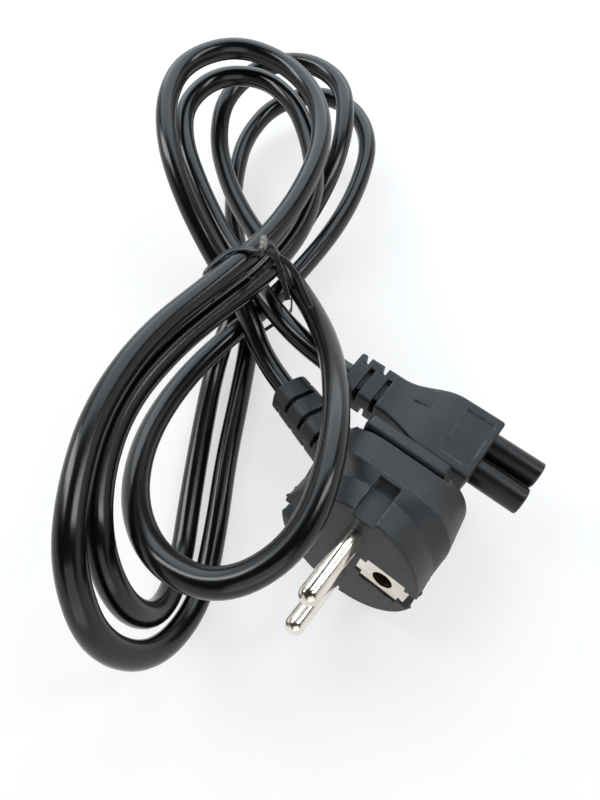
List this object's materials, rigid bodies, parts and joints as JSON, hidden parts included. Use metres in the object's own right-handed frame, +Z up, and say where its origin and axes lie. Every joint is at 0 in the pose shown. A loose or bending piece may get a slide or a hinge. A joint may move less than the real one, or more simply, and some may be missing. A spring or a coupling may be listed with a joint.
{
  "type": "laptop power cord",
  "caption": "Mains lead for a laptop adapter: angled earthed plug with round pins, cloverleaf connector and glossy black cord tied in a figure-eight hank.",
  "frame": {"origin": "on the table, below the middle of the box round the plug and the connector", "axes": "+Z up from the table; +X the way the connector's nose points, from the cord's side of the plug to its earth hole's side; -Y the way the plug's pins point, seen from above"},
  "size_m": [0.1578, 0.1901, 0.0527],
  "materials": {
    "moulding": "fine-grained black flexible PVC moulding",
    "insert": "smooth hard black plastic",
    "jacket": "glossy black PVC cord jacket",
    "bridge": "grey hard plastic",
    "plating": "bright nickel plating",
    "spring_brass": "bare spring brass",
    "core_brown": "brown core insulation",
    "core_blue": "blue core insulation",
    "core_earth": "green and yellow core insulation",
    "copper": "bare stranded copper",
    "tie": "black plastic ribbon with a wire in it"
  },
  "bodies": {
    "root": {"plug_body": "moulding", "plug_bridge": "bridge", "pin_line": "plating", "pin_neutral": "plating", "earth_strap": "plating", "earth_clip": "plating", "earth_socket": "spring_brass", "plug_core_brown": "core_brown", "plug_core_blue": "core_blue", "plug_core_earth": "core_earth", "plug_wire_brown": "copper", "plug_wire_blue": "copper", "connector_body": "moulding", "connector_insert": "insert", "contact_line": "spring_brass", "contact_neutral": "spring_brass", "contact_earth": "spring_brass", "connector_core_line": "core_brown", "connector_core_neutral": "core_blue", "connector_core_earth": "core_earth", "connector_wire_line": "copper", "connector_wire_neutral": "copper", "connector_wire_earth": "copper", "cord": "jacket", "twist_tie": "tie"}
  },
  "joints": []
}
